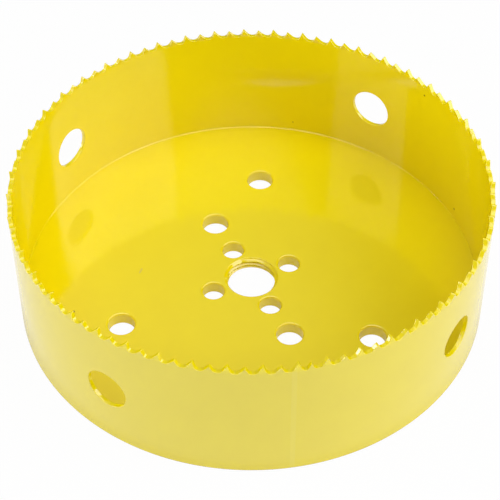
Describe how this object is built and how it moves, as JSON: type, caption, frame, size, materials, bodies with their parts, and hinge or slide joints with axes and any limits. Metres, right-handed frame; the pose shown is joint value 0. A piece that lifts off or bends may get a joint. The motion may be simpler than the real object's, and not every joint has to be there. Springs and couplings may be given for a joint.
{
  "type": "hole saw",
  "caption": "Large round cup saw with set teeth on its rim, side holes in the wall and a drilled and threaded back plate for an arbor.",
  "frame": {"origin": "centre of the back plate's back face", "axes": "+Z along the cup's axis towards the teeth, +X and +Y through the drive pin holes"},
  "size_m": [0.1393, 0.1394, 0.044],
  "materials": {
    "yellow_paint": "gloss"
  },
  "bodies": {
    "root": {"saw_ring": "yellow_paint", "back_plate": "yellow_paint", "root_weld": "yellow_paint"}
  },
  "joints": []
}
